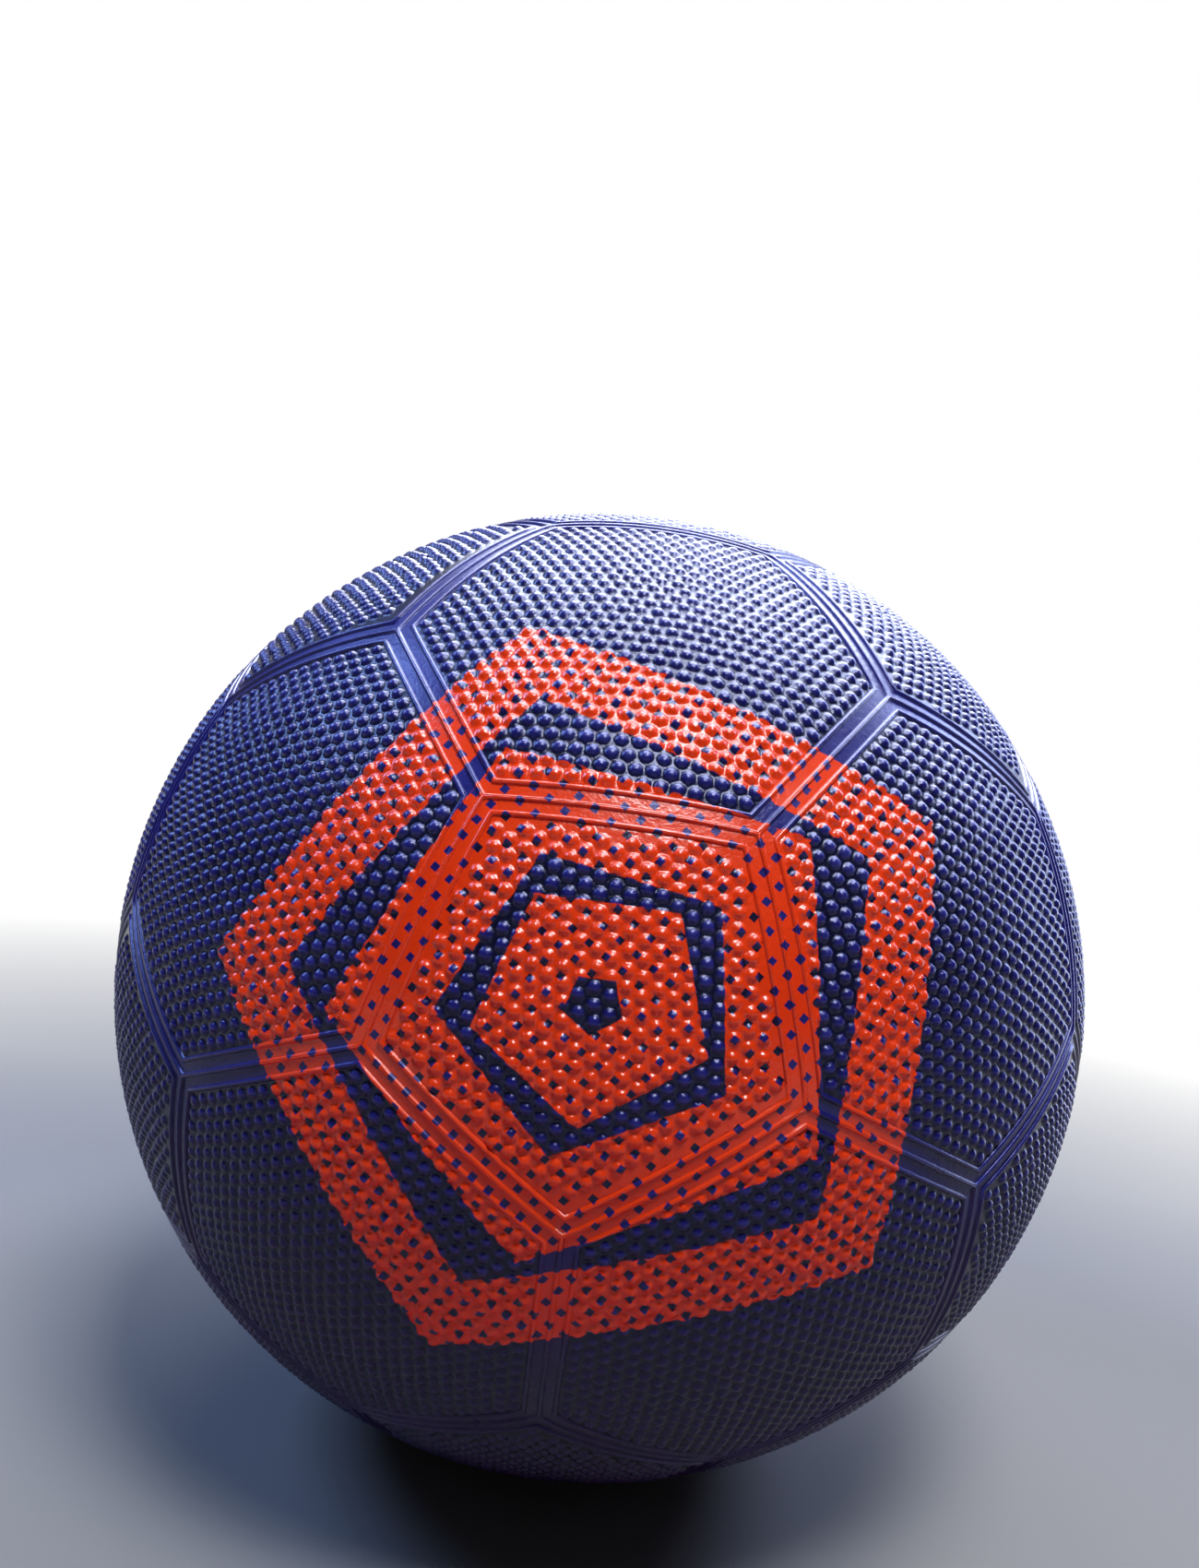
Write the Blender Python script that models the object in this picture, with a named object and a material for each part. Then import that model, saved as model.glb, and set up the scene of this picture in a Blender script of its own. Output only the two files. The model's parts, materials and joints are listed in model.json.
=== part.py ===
"""A moulded rubber soccer ball with a 32-panel seam pattern, modelled as it is laid up.

From the inside out it has a bladder with its valve seat and push-in valve plug, a carcass of wound
thread, and a cover of 12 pentagon and 20 hexagon rubber panels. Each panel carries its raised field,
its edge rib, a smooth margin and its half of the rib that runs along the seam.
Units are metres. The origin is the ball's centre, +Z runs out along the valve, -Y is the front.
"""

import math

import bmesh
import bpy
from mathutils import Matrix, Vector

# Cover
BALL_DIAMETER = 0.2200       # over the pebbled fields
COVER_WALL = 0.0012          # rubber under the smooth seam margins
FIELD_RISE = 0.0007          # pebbled field above the smooth margin
RIB_RISE = 0.0005            # ribs above the smooth margin
RIB_SPACING = 0.0028         # centre rib to edge rib
RIB_FOOT = 0.0010            # width of a rib at its foot
RIB_CREST = 0.0005           # width of a rib across its flat top
FIELD_SHOULDER = 0.0008      # slope from the edge rib's foot up to the field
SEAM_GAP = 0.0003            # parting between neighbouring panels

# Layers under the cover
LAYER_GAP = 0.0003           # between cover, winding, bladder and valve seat
WINDING_WALL = 0.0006        # layer of wound thread
BLADDER_WALL = 0.0008        # butyl wall

# Valve
VALVE_CLEARANCE = 0.0003     # round the plug and round the seat's neck
VALVE_RECESS = 0.0008        # plug's face below the crown of the valve panel
VALVE_MARGIN = 0.0022        # flat ring of the recess round the valve hole
PLUG_DIAMETER = 0.0076       # stem, at the head
PLUG_TAPER = 0.0004          # stem radius lost towards the tip
PLUG_LENGTH = 0.0160         # stem, from the head to the tip
PLUG_RIM = 0.0012            # head beyond the stem, all round
NEEDLE_MOUTH = 0.0024        # funnel in the plug's face, diameter
NEEDLE_FUNNEL = 0.0020       # funnel depth
NEEDLE_BORE = 0.0010         # needle hole below the funnel, diameter
NEEDLE_DEPTH = 0.0100        # needle hole, from the plug's face
SEAT_WALL = 0.0026           # seat's neck, round the plug
SEAT_LENGTH = 0.0140         # seat's neck, end to end
SEAT_FLANGE = 0.0080         # flange beyond the neck, all round
SEAT_FLANGE_WALL = 0.0012    # flange at its rim

# Facets
FIELD_STEPS = 3              # along a panel side, on the outside
LINING_STEPS = 2             # along a panel side, on every inner layer
TURN_STEPS = 24              # round the valve

# Radii of the layers, from the outside in
BALL_RADIUS = BALL_DIAMETER / 2
MARGIN_RADIUS = BALL_RADIUS - FIELD_RISE
RIB_RADIUS = MARGIN_RADIUS + RIB_RISE
COVER_INSIDE = MARGIN_RADIUS - COVER_WALL
WINDING_OUTSIDE = COVER_INSIDE - LAYER_GAP
WINDING_INSIDE = WINDING_OUTSIDE - WINDING_WALL
BLADDER_OUTSIDE = WINDING_INSIDE - LAYER_GAP
BLADDER_INSIDE = BLADDER_OUTSIDE - BLADDER_WALL

# Radii round the valve axis
STEM_RADIUS = PLUG_DIAMETER / 2
HEAD_RADIUS = STEM_RADIUS + PLUG_RIM
BORE_RADIUS = STEM_RADIUS + VALVE_CLEARANCE
NECK_RADIUS = BORE_RADIUS + SEAT_WALL
FLANGE_RADIUS = NECK_RADIUS + SEAT_FLANGE
COVER_HOLE_RADIUS = HEAD_RADIUS + VALVE_CLEARANCE
NECK_HOLE_RADIUS = NECK_RADIUS + VALVE_CLEARANCE
RECESS_RADIUS = COVER_HOLE_RADIUS + VALVE_MARGIN


def clear_scene():
    for obj in list(bpy.data.objects):
        bpy.data.objects.remove(obj, do_unlink=True)


def add_material(name, colour, roughness):
    """A Principled material in one linear colour."""
    material = bpy.data.materials.new(name)
    material.use_nodes = True
    shader = material.node_tree.nodes["Principled BSDF"]
    shader.inputs["Base Color"].default_value = (*colour, 1.0)
    shader.inputs["Roughness"].default_value = roughness
    shader.inputs["Metallic"].default_value = 0.0
    return material


def add_object(name, bm, material, parent):
    """Turns a finished bmesh into a named, smooth-shaded object."""
    mesh = bpy.data.meshes.new(name)
    bm.to_mesh(mesh)
    bm.free()
    mesh.materials.append(material)
    mesh.shade_smooth()
    mesh.set_sharp_from_angle(angle=math.radians(25))
    obj = bpy.data.objects.new(name, mesh)
    obj.parent = parent
    bpy.context.scene.collection.objects.link(obj)
    return obj


def seam_pattern():
    """A truncated icosahedron: an icosahedron whose corners are cut off a third of the way along its edges.

    A face of the icosahedron is turned to +Z, so a hexagon lies there. The corner just above the
    equator is turned to -Y, so a pentagon with its point down lies at the front.
    """
    pattern = bmesh.new()
    bmesh.ops.create_icosphere(pattern, subdivisions=1, radius=1.0)
    pattern.faces.ensure_lookup_table()
    pattern.edges.ensure_lookup_table()
    edge_length = pattern.edges[0].calc_length()
    upright = pattern.faces[0].normal.rotation_difference(Vector((0, 0, 1))).to_matrix()
    bmesh.ops.rotate(pattern, verts=pattern.verts[:], cent=(0, 0, 0), matrix=upright)
    above_equator = [v for v in pattern.verts if 0 < v.co.z < 0.5]
    heading = math.atan2(above_equator[0].co.y, above_equator[0].co.x)
    to_front = Matrix.Rotation(-math.pi / 2 - heading, 3, "Z")
    bmesh.ops.rotate(pattern, verts=pattern.verts[:], cent=(0, 0, 0), matrix=to_front)
    bmesh.ops.bevel(
        pattern,
        geom=pattern.verts[:],
        offset=edge_length / 3,
        offset_type="OFFSET",
        segments=1,
        affect="VERTICES",
    )
    pattern.normal_update()
    return pattern


def half_width(face):
    """Angle at the ball's centre from a panel's middle to the middle of one of its sides."""
    first, second = face.verts[0].co, face.verts[1].co
    return face.normal.angle(first + second)


def outline(face, reach, steps):
    """Directions along an outline of the panel's shape, starting each side at its corner.

    reach is the tangent of the angle from the panel's middle to the outline's mid-side, and steps is
    the number of points on each side. An outline of no steps is the panel's middle.
    """
    middle = face.normal
    if steps == 0:
        return [middle.copy()]
    corner_reach = reach / math.cos(math.pi / len(face.verts))
    corners = []
    for vert in face.verts:
        spoke = (vert.co - middle * vert.co.dot(middle)).normalized()
        corners.append(middle + spoke * corner_reach)
    points = []
    for here, after in zip(corners, corners[1:] + corners[:1]):
        points += [here.lerp(after, i / steps).normalized() for i in range(steps)]
    return points


def panel_section():
    """Distances in from the seam, with radii, from a panel's top edge over its ribs to its field."""
    edge_rib = RIB_SPACING
    return [
        (SEAM_GAP / 2, RIB_RADIUS),
        (RIB_FOOT / 2, MARGIN_RADIUS),
        (edge_rib - RIB_FOOT / 2, MARGIN_RADIUS),
        (edge_rib - RIB_CREST / 2, RIB_RADIUS),
        (edge_rib + RIB_CREST / 2, RIB_RADIUS),
        (edge_rib + RIB_FOOT / 2, MARGIN_RADIUS),
        (edge_rib + RIB_FOOT / 2 + FIELD_SHOULDER, BALL_RADIUS),
    ]


def panel_rings(face):
    """Rings of points of one panel: out along its underside, up its edge, over the ribs, in to its middle."""
    width = half_width(face)
    section = [(math.tan(width - inset / BALL_RADIUS), radius) for inset, radius in panel_section()]
    edge_reach = section[0][0]
    field_reach = section[-1][0]
    rings = []
    for step in range(LINING_STEPS + 1):
        rings.append((edge_reach * step / LINING_STEPS, step, COVER_INSIDE))
    for reach, radius in section:
        rings.append((reach, FIELD_STEPS, radius))
    for step in reversed(range(FIELD_STEPS)):
        rings.append((field_reach * step / FIELD_STEPS, step, BALL_RADIUS))
    return [[point * radius for point in outline(face, reach, steps)] for reach, steps, radius in rings]


def side_of(ring, side, sides):
    """The points of one panel side in a ring, from corner to corner."""
    steps = len(ring) // sides
    return [ring[(side * steps + i) % len(ring)] for i in range(steps + 1)]


def stitch(bm, first, second, sides):
    """Fills the strip between two rings with triangles, side by side, in step along each side."""
    for side in range(sides):
        a = side_of(first, side, sides)
        b = side_of(second, side, sides)
        a_last, b_last = len(a) - 1, len(b) - 1
        i = j = 0
        while i < a_last or j < b_last:
            a_next = j == b_last or (i < a_last and (i + 1) * b_last <= (j + 1) * a_last)
            if a_next:
                bm.faces.new((a[i], a[i + 1], b[j]))
                i += 1
            else:
                bm.faces.new((a[i], b[j + 1], b[j]))
                j += 1


def panel_mesh(face):
    """One closed panel, with its underside on the lining's facets."""
    bm = bmesh.new()
    rings = [[bm.verts.new(point) for point in ring] for ring in panel_rings(face)]
    for first, second in zip(rings, rings[1:]):
        stitch(bm, first, second, len(face.verts))
    bm.normal_update()
    return bm


def shell_mesh(pattern, outside, inside):
    """Two nested faceted spheres, cut into facets along the seams, the inner one facing inwards."""
    bm = pattern.copy()
    bmesh.ops.poke(bm, faces=bm.faces[:])
    bmesh.ops.subdivide_edges(bm, edges=bm.edges[:], cuts=LINING_STEPS - 1, use_grid_fill=True)
    for vert in bm.verts:
        vert.co = vert.co.normalized() * outside
    copied = bmesh.ops.duplicate(bm, geom=bm.verts[:] + bm.edges[:] + bm.faces[:])["geom"]
    lining = [item for item in copied if isinstance(item, bmesh.types.BMVert)]
    bmesh.ops.scale(bm, vec=(inside / outside,) * 3, verts=lining)
    facing_in = [item for item in copied if isinstance(item, bmesh.types.BMFace)]
    bmesh.ops.reverse_faces(bm, faces=facing_in)
    bm.normal_update()
    return bm


def turned_mesh(profile, closed):
    """A profile of (radius, height) points turned once round the Z axis."""
    bm = bmesh.new()
    verts = [bm.verts.new((radius, 0, height)) for radius, height in profile]
    pairs = list(zip(verts, verts[1:]))
    if closed:
        pairs.append((verts[-1], verts[0]))
    edges = [bm.edges.new(pair) for pair in pairs]
    bmesh.ops.spin(
        bm,
        geom=verts + edges,
        cent=(0, 0, 0),
        axis=(0, 0, 1),
        angle=2 * math.pi,
        steps=TURN_STEPS,
        use_merge=True,
    )
    bmesh.ops.remove_doubles(bm, verts=bm.verts[:], dist=1e-7)
    bmesh.ops.recalc_face_normals(bm, faces=bm.faces[:])
    return bm


def lining_fall(pattern):
    """How fast the lining's facets drop away from the valve axis, at their steepest, per metre of radius."""
    top = max(pattern.faces, key=lambda face: face.normal.z)
    corner_reach = math.tan(half_width(top)) / math.cos(math.pi / len(top.verts))
    first_ring = math.atan(corner_reach / LINING_STEPS)
    return math.tan(first_ring / 2) / math.cos(math.pi / len(top.verts))


def add_cutter(name, radius, low, high, parent):
    """A cylinder on the valve axis that cuts a hole and is not part of the ball."""
    bm = bmesh.new()
    bmesh.ops.create_cone(
        bm,
        cap_ends=True,
        segments=TURN_STEPS,
        radius1=radius,
        radius2=radius,
        depth=high - low,
        matrix=Matrix.Translation((0, 0, (low + high) / 2)),
    )
    mesh = bpy.data.meshes.new(name)
    bm.to_mesh(mesh)
    bm.free()
    cutter = bpy.data.objects.new(name, mesh)
    cutter.hide_render = True
    cutter.display_type = "WIRE"
    cutter.parent = parent
    bpy.context.scene.collection.objects.link(cutter)
    return cutter


def cut(obj, cutter):
    modifier = obj.modifiers.new(cutter.name, "BOOLEAN")
    modifier.operation = "DIFFERENCE"
    modifier.solver = "EXACT"
    modifier.object = cutter


def panel_names(pattern):
    """Names for the panels, from the valve down and round from the front. The top hexagon is the valve panel."""
    def place(face):
        round_from_front = math.atan2(face.normal.x, -face.normal.y) % (2 * math.pi)
        return (-round(face.normal.z, 3), round(round_from_front, 3))

    counts = {"pentagon_panel": 0, "hexagon_panel": 0}
    names = {}
    for face in sorted(pattern.faces, key=place):
        if not names:
            names[face.index] = "valve_panel"
            continue
        kind = "pentagon_panel" if len(face.verts) == 5 else "hexagon_panel"
        counts[kind] += 1
        names[face.index] = f"{kind}_{counts[kind]:02d}"
    return names


def add_cover(pattern, ball):
    """The 32 panels. The valve panel has a flat recess with the valve hole in its middle."""
    rubber = add_material("cover_rubber", (0.030, 0.028, 0.155), 0.32)
    pattern.faces.index_update()
    names = panel_names(pattern)
    for face in pattern.faces:
        panel = add_object(names[face.index], panel_mesh(face), rubber, ball)
        if panel.name == "valve_panel":
            cut(panel, add_cutter("valve_hole", COVER_HOLE_RADIUS, BLADDER_INSIDE, BALL_DIAMETER, ball))
            recess_floor = BALL_RADIUS - VALVE_RECESS
            cut(panel, add_cutter("valve_recess", RECESS_RADIUS, recess_floor, BALL_DIAMETER, ball))


def add_layers(pattern, ball, fall):
    """The wound carcass and the bladder, each with a round hole for the valve seat's neck."""
    thread = add_material("nylon_thread", (0.62, 0.60, 0.53), 0.70)
    butyl = add_material("butyl_rubber", (0.012, 0.012, 0.013), 0.45)
    winding = add_object("thread_winding", shell_mesh(pattern, WINDING_OUTSIDE, WINDING_INSIDE), thread, ball)
    bladder = add_object("bladder", shell_mesh(pattern, BLADDER_OUTSIDE, BLADDER_INSIDE), butyl, ball)
    hole_floor = BLADDER_INSIDE - 2 * fall * NECK_HOLE_RADIUS
    neck_hole = add_cutter("neck_hole", NECK_HOLE_RADIUS, hole_floor, BALL_DIAMETER, ball)
    cut(winding, neck_hole)
    cut(bladder, neck_hole)


def add_valve(ball, fall):
    """The seat, whose flange lies against the bladder's inside, and the plug pushed into its bore."""
    butyl = add_material("valve_seat_rubber", (0.020, 0.020, 0.022), 0.50)
    soft = add_material("valve_plug_rubber", (0.016, 0.016, 0.018), 0.40)

    neck_top = COVER_INSIDE - fall * NECK_RADIUS - LAYER_GAP
    neck_end = neck_top - SEAT_LENGTH
    flange_top = BLADDER_INSIDE - fall * NECK_RADIUS - LAYER_GAP
    rim_top = BLADDER_INSIDE - fall * FLANGE_RADIUS - LAYER_GAP
    rim_base = rim_top - SEAT_FLANGE_WALL
    seat_profile = [
        (BORE_RADIUS, neck_top),
        (NECK_RADIUS, neck_top),
        (NECK_RADIUS, flange_top),
        (FLANGE_RADIUS, rim_top),
        (FLANGE_RADIUS, rim_base),
        (NECK_RADIUS, rim_base),
        (NECK_RADIUS, neck_end),
        (BORE_RADIUS, neck_end),
    ]
    add_object("valve_seat", turned_mesh(seat_profile, closed=True), butyl, ball)

    face = BALL_RADIUS - VALVE_RECESS
    head_base = neck_top + VALVE_CLEARANCE
    head = face - head_base
    plug_profile = [
        (0, head - NEEDLE_DEPTH),
        (NEEDLE_BORE / 2, head - NEEDLE_DEPTH),
        (NEEDLE_BORE / 2, head - NEEDLE_FUNNEL),
        (NEEDLE_MOUTH / 2, head),
        (HEAD_RADIUS, head),
        (HEAD_RADIUS, 0),
        (STEM_RADIUS, 0),
        (STEM_RADIUS - PLUG_TAPER, -PLUG_LENGTH),
        (0, -PLUG_LENGTH),
    ]
    plug = add_object("valve_plug", turned_mesh(plug_profile, closed=False), soft, ball)
    plug.location = (0, 0, head_base)


def build():
    clear_scene()
    ball = bpy.data.objects.new("soccer_ball", None)
    bpy.context.scene.collection.objects.link(ball)
    pattern = seam_pattern()
    fall = lining_fall(pattern)
    add_cover(pattern, ball)
    add_layers(pattern, ball, fall)
    add_valve(ball, fall)
    pattern.free()


build()
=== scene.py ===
import json
import math

import bpy
import numpy as np
from mathutils import Matrix, Vector


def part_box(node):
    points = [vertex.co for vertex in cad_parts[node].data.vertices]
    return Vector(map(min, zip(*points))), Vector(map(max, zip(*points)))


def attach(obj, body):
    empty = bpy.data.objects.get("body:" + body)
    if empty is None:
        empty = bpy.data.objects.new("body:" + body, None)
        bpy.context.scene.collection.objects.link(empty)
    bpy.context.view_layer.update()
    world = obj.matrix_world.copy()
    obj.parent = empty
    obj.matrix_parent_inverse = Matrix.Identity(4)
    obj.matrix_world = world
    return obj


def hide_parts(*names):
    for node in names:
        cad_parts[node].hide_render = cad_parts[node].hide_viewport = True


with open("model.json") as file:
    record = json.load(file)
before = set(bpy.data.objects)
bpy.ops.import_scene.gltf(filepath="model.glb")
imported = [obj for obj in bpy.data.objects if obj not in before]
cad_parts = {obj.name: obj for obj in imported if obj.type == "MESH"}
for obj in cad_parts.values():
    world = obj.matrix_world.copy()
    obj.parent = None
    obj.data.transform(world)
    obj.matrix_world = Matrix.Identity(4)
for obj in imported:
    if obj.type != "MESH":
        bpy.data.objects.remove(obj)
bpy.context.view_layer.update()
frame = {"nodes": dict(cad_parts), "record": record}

# Bladder
# A thin balloon of black butyl rubber, moulded in one piece and dusted with talc, that holds the air.
# It lies inside the wound carcass and shows only through the valve hole.

MM = 0.001


def linear(hex_code):
    """Linear red, green, blue and alpha of an sRGB hex colour."""
    channels = [int(hex_code[i:i + 2], 16) / 255 for i in (1, 3, 5)]
    return tuple(c / 12.92 if c <= 0.04045 else ((c + 0.055) / 1.055) ** 2.4 for c in channels) + (1.0,)


def add_node(tree, kind, inputs=None, **settings):
    """Adds a shader node. Each input is a value, or an output socket of another node to link from.

    A node that mixes colours takes them in inputs 6 and 7 and gives output 2.
    """
    node = tree.nodes.new(kind)
    for name, value in settings.items():
        setattr(node, name, value)
    for name, value in (inputs or {}).items():
        if isinstance(value, bpy.types.NodeSocket):
            tree.links.new(value, node.inputs[name])
        else:
            node.inputs[name].default_value = value
    return node


def empty_material(name):
    """A material with nothing in its node tree yet, and the tree."""
    material = bpy.data.materials.new(name)
    material.use_nodes = True
    material.node_tree.nodes.clear()
    return material, material.node_tree


def finish_node(node, material):
    """Gives a CAD node's object its material."""
    node.data.materials.clear()
    node.data.materials.append(material)


BUTYL_BLACK = linear("#1B1B1D")
TALC_GREY = linear("#4A4A4C")
TALC_PATCH = 6 * MM

# Butyl rubber: dull black, with grey talc left in cloudy patches.
butyl, tree = empty_material("butyl_rubber_talced")
place = add_node(tree, "ShaderNodeTexCoord").outputs["Object"]
talc = add_node(tree, "ShaderNodeTexNoise", {"Vector": place, "Scale": 1 / TALC_PATCH, "Detail": 8.0})
cloud = add_node(tree, "ShaderNodeMapRange", {
    "Value": talc.outputs["Fac"], "From Min": 0.45, "From Max": 0.75})
tint = add_node(tree, "ShaderNodeMix", {
    0: cloud.outputs["Result"], 6: BUTYL_BLACK, 7: TALC_GREY}, data_type="RGBA")
dull = add_node(tree, "ShaderNodeMapRange", {"Value": talc.outputs["Fac"], "To Min": 0.4, "To Max": 0.75})
shader = add_node(tree, "ShaderNodeBsdfPrincipled", {
    "Base Color": tint.outputs[2], "Roughness": dull.outputs["Result"], "IOR": 1.52})
add_node(tree, "ShaderNodeOutputMaterial", {"Surface": shader.outputs["BSDF"]})
finish_node(frame["nodes"]["bladder"], butyl)

# Thread winding
# Nylon thread wound round the bladder in all directions and set in latex, which keeps the ball round.
# It is a closed layer under the cover, seen only at the edge of the valve hole.

THREAD_SPACING = 0.9 * MM        # drawn coarser than the real 0.4 mm, to show
THREAD_RELIEF = 0.2 * MM
NYLON_CREAM = linear("#CFC8B4")
LATEX_BROWN = linear("#9A8B6A")
WINDING_WAYS = [(0.0, 0.0, 0.0), (1.2, 0.4, 0.0), (0.3, 1.3, 0.8)]

# Nylon thread in latex: three crossing lays of thread, each a row of bands, brown between the threads.
nylon, tree = empty_material("nylon_thread_in_latex")
place = add_node(tree, "ShaderNodeTexCoord").outputs["Object"]
lay = None
for turn in WINDING_WAYS:
    turned = add_node(tree, "ShaderNodeMapping", {"Vector": place, "Rotation": turn})
    bands = add_node(tree, "ShaderNodeTexWave", {
        "Vector": turned.outputs["Vector"], "Scale": 0.5 / THREAD_SPACING, "Distortion": 0.6})
    if lay is None:
        lay = bands.outputs["Fac"]
    else:
        over = add_node(tree, "ShaderNodeMath", {0: lay, 1: bands.outputs["Fac"]}, operation="MAXIMUM")
        lay = over.outputs[0]
tint = add_node(tree, "ShaderNodeMix", {0: lay, 6: LATEX_BROWN, 7: NYLON_CREAM}, data_type="RGBA")
relief = add_node(tree, "ShaderNodeBump", {"Height": lay, "Strength": 0.5, "Distance": THREAD_RELIEF})
shader = add_node(tree, "ShaderNodeBsdfPrincipled", {
    "Base Color": tint.outputs[2], "Roughness": 0.6, "IOR": 1.53, "Normal": relief.outputs["Normal"]})
add_node(tree, "ShaderNodeOutputMaterial", {"Surface": shader.outputs["BSDF"]})
finish_node(frame["nodes"]["thread_winding"], nylon)

# Valve seat
# A moulded boss of the bladder's own butyl rubber. Its flange is bonded inside the bladder's hole, and the
# bore in its neck grips the valve plug.

finish_node(frame["nodes"]["valve_seat"], butyl)

# Cover panels
# Twelve pentagons and nineteen plain hexagons of coloured rubber, laid edge to edge on the winding and
# vulcanised in a hot mould, which presses in the pebbles, an edge rib round each panel and a rib on
# each seam.

mounts = {mount["name"]: mount for mount in frame["record"]["mounts"]}
BALL_RADIUS = -mounts["floor_rest"]["pos_m"][2]
PEBBLE_RISE = 0.70 * MM
PEBBLE_RADIUS = 1.18 * MM
WIDTH_SPREAD = 0.03              # pebbles differ in width by this share
HEIGHT_MEAN = 0.95               # and in height, as shares of the full rise
HEIGHT_SPREAD = 0.05
HEIGHT_LEAST = 0.8
DOME_POWER = 0.65
FOOT_CATCH = 0.3                 # mesh points within this share of a row of a pebble's foot move onto it
PENTAGON_PITCH = 2.87 * MM
PENTAGON_TURN = math.radians(17)
PENTAGON_INSET = 4.4 * MM        # pebbles keep this far in from the seam
PENTAGON_SCATTER = 0.12 * MM     # and stray this far from an even pattern
PATTERN_STEPS = 20               # steps of that pattern each way, more than a panel holds
PATTERN_ANGLE = 0.5              # radians from the middle, beyond a panel's corners
HEXAGON_SCATTER = 0.05 * MM
PIT_SHARE = 0.04                 # share of pebbles with a pit where air was trapped in the mould
PIT_RADIUS = 0.36 * MM
PIT_DEPTH = 0.28 * MM
RIB_RISE = 0.50 * MM
RIB_FOOT = 0.50 * MM             # half the width of a rib
EDGE_RIB = 2.8 * MM              # from the seam to the middle of the edge rib
FIELD_INSET = 3.38 * MM          # from the seam to the pebbled field
COVER_INSIDE = BALL_RADIUS - 1.9 * MM
MARGIN_RADIUS = BALL_RADIUS - PEBBLE_RISE
CAD_SEAM_GAP = 0.3 * MM
CORNER_BAND = 0.005              # CAD points with cosines this near the lowest are corners
HEXAGON_ROWS = 102               # rows of the field's mesh, from the middle to its edge
PENTAGON_ROWS = 90
PEBBLE_EVERY = 7                 # mesh rows from one row of a hexagon's pebbles to the next
BAND_SHARE = 6                   # steps of the field's edge to one of the band round it
# The band's painted valley shade stops at this share, so that its flats stay paler than the valleys.
BAND_TONE = 0.7                  # the smooth band is as pale as a pebble at this share of its height


def outline_points(sides, reach, steps):
    """Points of a regular outline on the plane that touches the ball at the panel's middle.

    Each side runs in even steps from its corner to the next. reach is the distance to mid-side in ball
    radii, which is the tangent of its angle from the middle.
    """
    turn = np.arange(sides + 1) * 2 * np.pi / sides
    corners = reach / np.cos(np.pi / sides) * np.stack([np.cos(turn), np.sin(turn)], axis=1)
    along = np.arange(steps)[:, None] / steps
    points = corners[:-1, None] * (1 - along) + corners[1:, None] * along
    return points.reshape(-1, 2)


def nested_outlines(sides, reaches, first=1):
    """Points of outlines one round the other, each with one more step a side than the last."""
    return np.concatenate([outline_points(sides, reach, first + row) for row, reach in enumerate(reaches)])


def nested_triangles(sides, rows, first=0):
    """Triangles between nested outlines from row first to the last, row 0 being the middle point.

    On each side every outer step has a triangle to the inner row, and every inner step one to the outer.
    """
    def start(row):
        """Index of a row's first point, after the middle point and all the rows inside it."""
        return 1 + sides * row * (row - 1) // 2 if row else 0

    triangles = []
    for row in range(first + 1, rows + 1):
        around, inner_around = sides * row, max(1, sides * (row - 1))
        point = np.arange(around)
        side, step = np.divmod(point, row)
        outer = start(row) + point
        outer_next = start(row) + (point + 1) % around
        inner = start(row - 1) + (side * (row - 1) + step) % inner_around
        inner_next = start(row - 1) + (side * (row - 1) + step + 1) % inner_around
        triangles.append(np.stack([outer, outer_next, inner], axis=1))
        triangles.append(np.stack([inner, outer_next, inner_next], axis=1)[step < row - 1])
    return np.concatenate(triangles) - start(first)


def strip_triangles(inner, outer):
    """Triangles of the strip between two rings with equally many points."""
    inner_next, outer_next = np.roll(inner, -1), np.roll(outer, -1)
    return np.concatenate([
        np.stack([inner, outer, outer_next], axis=1),
        np.stack([inner, outer_next, inner_next], axis=1)])


def gathered_triangles(fine, coarse):
    """Triangles from a fine ring to a coarse one round it, where each coarse point takes its share."""
    share = len(fine) // len(coarse)
    fine_next = np.roll(fine, -1)
    fans = np.stack([np.repeat(coarse, share), fine_next, fine], axis=1)
    steps = np.stack([coarse, np.roll(coarse, -1), fine_next[share - 1::share]], axis=1)
    return np.concatenate([fans, steps])


def directions(points):
    """Unit vectors towards points of the plane that touches the ball at the panel's middle."""
    vectors = np.column_stack([points, np.ones(len(points))])
    return vectors / np.linalg.norm(vectors, axis=1, keepdims=True)


def hexagon_pebbles(half_width):
    """Middles of a hexagon's pebbles: rows parallel to its sides, each one longer by a pebble a side."""
    width = half_width - FIELD_INSET / BALL_RADIUS
    mesh_rows = np.arange(PEBBLE_EVERY, HEXAGON_ROWS, PEBBLE_EVERY)
    rows = nested_outlines(6, np.tan(width * mesh_rows / HEXAGON_ROWS))
    return np.concatenate([np.zeros((1, 2)), rows])


def pentagon_pebbles(half_width):
    """Middles of a pentagon's pebbles: an even triangular pattern, cut off where the band begins.

    A place in the pattern lies at its distance along the ball, so on the plane at the tangent of its angle.
    """
    count = np.arange(-PATTERN_STEPS, PATTERN_STEPS + 1)
    step, row = np.meshgrid(count, count)
    across = (step + row / 2).ravel() * PENTAGON_PITCH
    up = (row * math.sqrt(3) / 2).ravel() * PENTAGON_PITCH
    angle = np.hypot(across, up) / BALL_RADIUS
    turn = np.arctan2(up, across) + PENTAGON_TURN
    near = angle < PATTERN_ANGLE
    plane = np.tan(angle[near])[:, None] * np.stack([np.cos(turn[near]), np.sin(turn[near])], axis=1)
    mid_sides = (np.arange(5) + 0.5) * 2 * np.pi / 5
    reach = (plane @ np.stack([np.cos(mid_sides), np.sin(mid_sides)])).max(axis=1)
    return plane[np.arctan(reach) < half_width - PENTAGON_INSET / BALL_RADIUS]


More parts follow.
